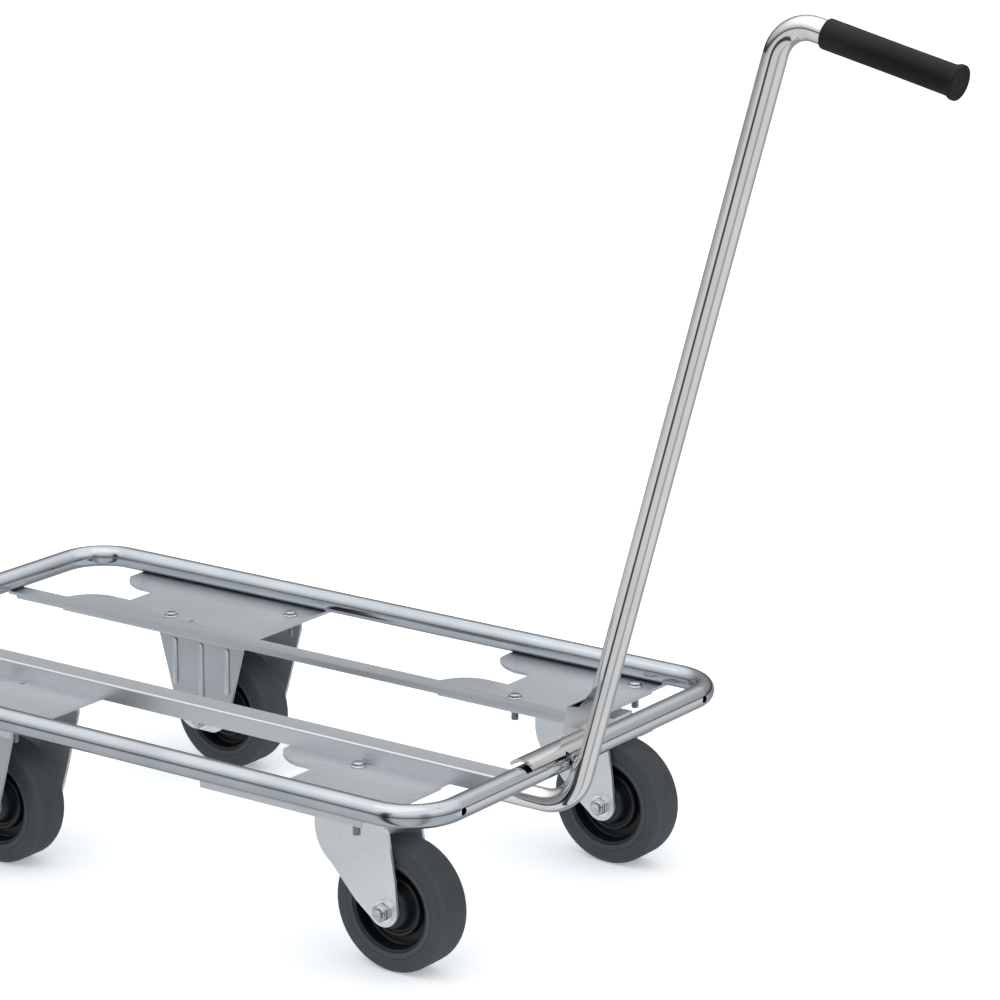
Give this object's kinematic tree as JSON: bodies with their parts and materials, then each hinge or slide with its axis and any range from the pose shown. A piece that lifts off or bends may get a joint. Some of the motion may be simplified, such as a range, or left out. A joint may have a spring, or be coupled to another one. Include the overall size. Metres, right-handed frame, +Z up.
{
  "type": "folding platform cart",
  "caption": "Zinc-plated tubular crate dolly: open oblong ring on rigid and swivel casters, with a hooked chrome pull handle that folds down over the deck.",
  "frame": {"origin": "on the floor under the middle of the whole object's bounding box", "axes": "+X towards the handle end, +Y towards the far side, +Z up"},
  "size_m": [0.982, 0.41, 0.7113],
  "materials": {
    "zinc_tube": "bright zinc plate on drawn round tube, slightly brushed",
    "zinc_sheet": "pale matt zinc plate on pressed sheet",
    "zinc_caster": "bright zinc plate on pressed caster metalwork",
    "zinc_fasteners": "zinc plate on bolts, nuts and pins",
    "handle_chrome": "polished chrome plate",
    "grey_tyre": "dark grey solid rubber, slightly satin",
    "black_rim": "black moulded plastic",
    "black_grip": "black smooth rubbery plastic sleeve",
    "bearing_steel": "hardened bearing steel, lightly oiled"
  },
  "bodies": {
    "deck": {"ring_tube": "zinc_tube", "far_carrier_sheet": "zinc_sheet", "near_swivel_carrier_plate": "zinc_sheet", "near_fixed_carrier_plate": "zinc_sheet", "near_inner_rail": "zinc_sheet", "caster_bolts": "zinc_fasteners", "near_fixed_fork": "zinc_caster", "far_fixed_fork": "zinc_caster", "fixed_axle_bolts": "zinc_fasteners", "fixed_axle_sleeves": "zinc_fasteners", "fixed_axle_spacers": "zinc_fasteners", "fixed_axle_washers": "zinc_fasteners", "fixed_axle_nuts": "zinc_fasteners", "near_swivel_plate": "zinc_caster", "near_kingpin": "zinc_fasteners", "near_race_balls": "bearing_steel", "far_swivel_plate": "zinc_caster", "far_kingpin": "zinc_fasteners", "far_race_balls": "bearing_steel"},
    "near_swivel": {"near_swivel_fork": "zinc_caster", "near_ball_race": "bearing_steel", "near_thrust_washer": "zinc_caster", "near_axle_bolt": "zinc_fasteners", "near_axle_sleeve": "zinc_fasteners", "near_axle_spacers": "zinc_fasteners", "near_axle_washer": "zinc_fasteners", "near_axle_nut": "zinc_fasteners"},
    "far_swivel": {"far_swivel_fork": "zinc_caster", "far_ball_race": "bearing_steel", "far_thrust_washer": "zinc_caster", "far_axle_bolt": "zinc_fasteners", "far_axle_sleeve": "zinc_fasteners", "far_axle_spacers": "zinc_fasteners", "far_axle_washer": "zinc_fasteners", "far_axle_nut": "zinc_fasteners"},
    "near_fixed_wheel": {"near_fixed_tyre": "grey_tyre", "near_fixed_rim": "black_rim", "near_fixed_roller_bearing": "bearing_steel"},
    "far_fixed_wheel": {"far_fixed_tyre": "grey_tyre", "far_fixed_rim": "black_rim", "far_fixed_roller_bearing": "bearing_steel"},
    "near_swivel_wheel": {"near_swivel_tyre": "grey_tyre", "near_swivel_rim": "black_rim", "near_swivel_roller_bearing": "bearing_steel"},
    "far_swivel_wheel": {"far_swivel_tyre": "grey_tyre", "far_swivel_rim": "black_rim", "far_swivel_roller_bearing": "bearing_steel"},
    "handle": {"handle_tube": "handle_chrome", "tail_cap": "black_grip", "grip": "black_grip", "saddle": "handle_chrome", "handle_bracket": "handle_chrome"}
  },
  "joints": [
    {"name": "handle_fold", "type": "hinge", "parent": "deck", "child": "handle", "pos_m": [0.17003, -0.021, 0.1395], "axis": [0, -1, 0], "range_deg": [0, 105]},
    {"name": "near_swivel_turn", "type": "hinge", "parent": "deck", "child": "near_swivel", "pos_m": [0.07083, -0.143, 0.112], "axis": [0, 0, 1], "continuous": true},
    {"name": "near_swivel_spin", "type": "hinge", "parent": "near_swivel", "child": "near_swivel_wheel", "pos_m": [0.11083, -0.143, 0.05], "axis": [0, 1, 0], "continuous": true},
    {"name": "near_fixed_spin", "type": "hinge", "parent": "deck", "child": "near_fixed_wheel", "pos_m": [-0.28127, -0.143, 0.05], "axis": [0, 1, 0], "continuous": true},
    {"name": "far_swivel_turn", "type": "hinge", "parent": "deck", "child": "far_swivel", "pos_m": [0.07083, 0.1375, 0.112], "axis": [0, 0, 1], "continuous": true},
    {"name": "far_swivel_spin", "type": "hinge", "parent": "far_swivel", "child": "far_swivel_wheel", "pos_m": [0.11083, 0.1375, 0.05], "axis": [0, 1, 0], "continuous": true},
    {"name": "far_fixed_spin", "type": "hinge", "parent": "deck", "child": "far_fixed_wheel", "pos_m": [-0.28127, 0.1375, 0.05], "axis": [0, 1, 0], "continuous": true}
  ]
}
